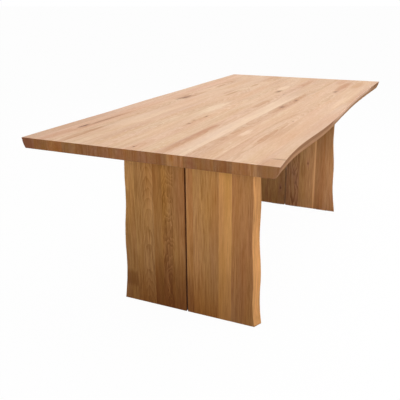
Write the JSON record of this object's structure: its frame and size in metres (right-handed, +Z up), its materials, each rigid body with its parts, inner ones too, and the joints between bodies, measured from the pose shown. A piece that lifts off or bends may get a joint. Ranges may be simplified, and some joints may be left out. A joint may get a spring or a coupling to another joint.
{
  "type": "live edge dining table",
  "caption": "Rectangular wooden dining table with natural live edges, a glued-up stave top and slab panel legs set in pairs with a narrow gap.",
  "frame": {"origin": "on the floor, below the middle of the table", "axes": "+Z up; X along the table's length; -Y towards the front long side"},
  "size_m": [2, 1.0198, 0.75],
  "materials": {
    "top_wood": "satin clear lacquer on lightly figured hardwood",
    "top_live_edge": "satin clear lacquer, natural edge with the bark removed",
    "leg_wood": "satin clear lacquer on golden brown hardwood",
    "leg_live_edge": "satin clear lacquer, natural edge with the bark removed",
    "bracket_black_steel": "matt black powder coat",
    "batten_wood": "oiled hardwood, unpolished",
    "bolt_zinc_steel": "bright zinc plating",
    "insert_brass": "machined",
    "glide_felt": "pressed wool felt"
  },
  "bodies": {
    "root": {"left_back_leg_glides": "glide_felt", "left_back_leg_stave_1": "leg_wood", "left_back_leg_stave_2": "leg_wood", "left_back_leg_stave_3": "leg_wood", "left_back_leg_stave_4": "leg_wood", "left_back_leg_stave_5": "leg_live_edge", "left_front_leg_glides": "glide_felt", "left_front_leg_stave_1": "leg_wood", "left_front_leg_stave_2": "leg_wood", "left_front_leg_stave_3": "leg_wood", "left_front_leg_stave_4": "leg_live_edge", "left_leg_bracket": "bracket_black_steel", "left_top_batten": "batten_wood", "left_top_bolts": "bolt_zinc_steel", "left_top_inserts": "insert_brass", "left_top_washers": "bolt_zinc_steel", "right_back_leg_glides": "glide_felt", "right_back_leg_stave_1": "leg_wood", "right_back_leg_stave_2": "leg_wood", "right_back_leg_stave_3": "leg_wood", "right_back_leg_stave_4": "leg_live_edge", "right_front_leg_glides": "glide_felt", "right_front_leg_stave_1": "leg_wood", "right_front_leg_stave_2": "leg_wood", "right_front_leg_stave_3": "leg_wood", "right_front_leg_stave_4": "leg_live_edge", "right_leg_bracket": "bracket_black_steel", "right_top_batten": "batten_wood", "right_top_bolts": "bolt_zinc_steel", "right_top_inserts": "insert_brass", "right_top_washers": "bolt_zinc_steel", "top_stave_01": "top_live_edge", "top_stave_02": "top_wood", "top_stave_03": "top_wood", "top_stave_04": "top_wood", "top_stave_05": "top_wood", "top_stave_06": "top_wood", "top_stave_07": "top_wood", "top_stave_08": "top_wood", "top_stave_09": "top_wood", "top_stave_10": "top_wood", "top_stave_11": "top_wood", "top_stave_12": "top_wood", "top_stave_13": "top_wood", "top_stave_14": "top_wood", "top_stave_15": "top_wood", "top_stave_16": "top_live_edge"}
  },
  "joints": []
}
